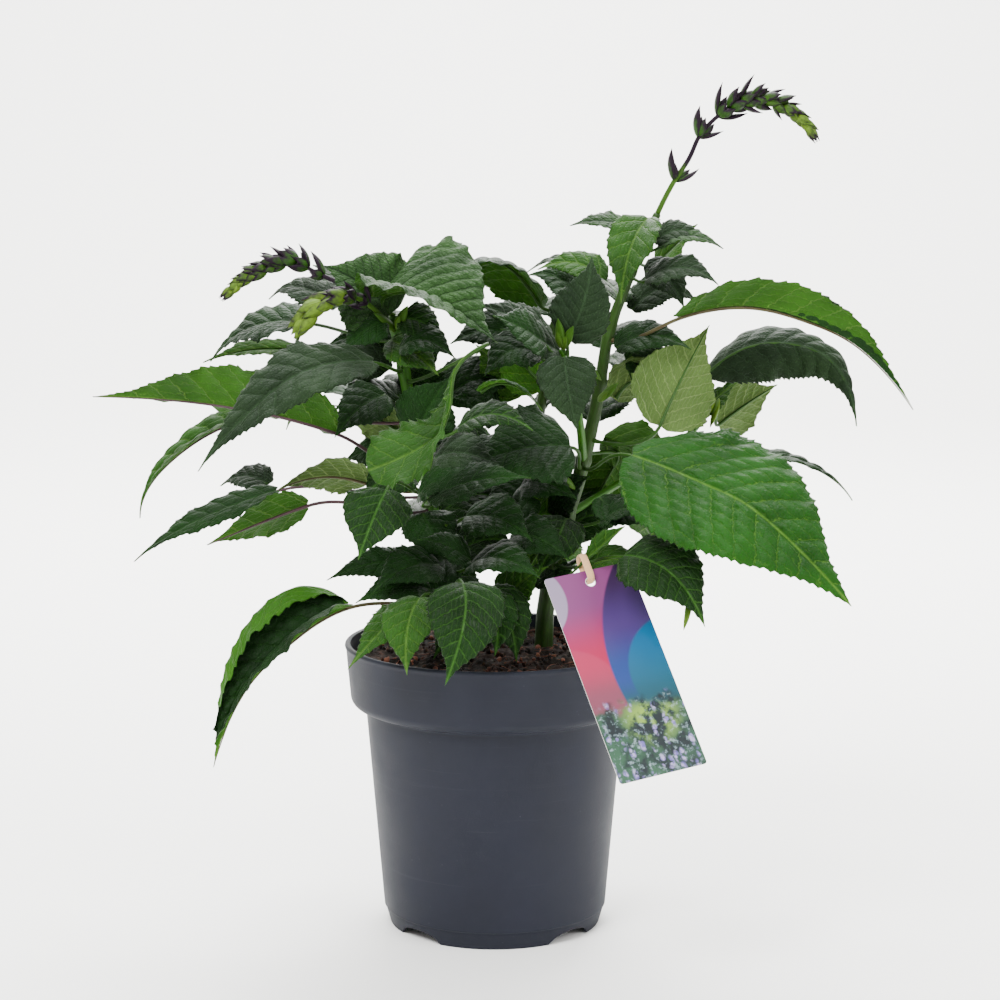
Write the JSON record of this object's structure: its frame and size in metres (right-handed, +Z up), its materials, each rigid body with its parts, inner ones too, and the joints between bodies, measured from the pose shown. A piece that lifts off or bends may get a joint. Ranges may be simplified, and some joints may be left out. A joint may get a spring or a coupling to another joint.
{
  "type": "potted salvia",
  "caption": "Leafy young sage plant in bud, in a round grey plastic nursery pot of soil, with a printed label on a tie; it stands on its own feet",
  "frame": {"origin": "on the ground under the middle of the object's box, which is within a few millimetres of the pot's axis", "axes": "+Z up along the pot's axis, -Y towards the viewer of the front, where the label hangs, +X to the viewer's right"},
  "size_m": [0.458, 0.2696, 0.4727],
  "materials": {
    "pot": "satin moulded grey",
    "soil": null,
    "stem": "live green stem; wood stands in for a plant stem",
    "bud": "soft purple and green calyces; fabric stands in for plant tissue",
    "leaf": "quilted leaf; fabric stands in for plant tissue",
    "label": "printed coated card",
    "tie": "beige elastic"
  },
  "bodies": {
    "root": {"pot": "pot", "potting_soil": "soil", "stem_left": "stem", "stem_right": "stem", "stem_back": "stem", "stem_centre": "stem", "branch_right": "stem", "spike_right": "bud", "spike_left": "bud", "spike_front": "bud", "leaf_left_crown_broad": "leaf", "leaf_left_crown_far": "leaf", "leaf_left_arched_high": "leaf", "leaf_left_far_narrow": "leaf", "leaf_left_front_arch": "leaf", "leaf_left_long": "leaf", "leaf_left_drooping": "leaf", "leaf_left_low_dark": "leaf", "leaf_left_low_pale": "leaf", "leaf_left_low_smooth": "leaf", "leaf_front_dark_drop": "leaf", "leaf_front_twisted": "leaf", "leaf_front_dark_right": "leaf", "leaf_centre_veined": "leaf", "leaf_front_left_folded": "leaf", "leaf_front_mid_dark": "leaf", "leaf_front_low_dark": "leaf", "leaf_front_low_veined": "leaf", "leaf_front_low_bright": "leaf", "leaf_front_low_narrow": "leaf", "leaf_right_crown_folded": "leaf", "leaf_right_crown_left": "leaf", "leaf_right_crown_forked": "leaf", "leaf_right_crown_far": "leaf", "leaf_right_crown_dark": "leaf", "leaf_right_long_arch": "leaf", "leaf_right_pale_up": "leaf", "leaf_right_vivid": "leaf", "leaf_centre_dark_big": "leaf", "leaf_right_hooked": "leaf", "leaf_right_round_pale": "leaf", "leaf_right_low_veined": "leaf", "leaf_right_low_pale": "leaf", "leaf_right_low_under": "leaf", "leaf_centre_rugose": "leaf", "leaf_centre_left": "leaf", "leaf_centre_down": "leaf", "leaf_centre_olive": "leaf", "leaf_back_crown_arch": "leaf", "leaf_back_crown_right": "leaf", "leaf_back_high": "leaf", "leaf_back_right_high": "leaf", "leaf_back_left_high": "leaf", "leaf_back_middle": "leaf", "leaf_back_right_low": "leaf", "leaf_back_left_low": "leaf", "leaf_back_low": "leaf", "leaf_label_strap": "leaf", "label_card": "label", "label_tie": "tie"}
  },
  "joints": []
}
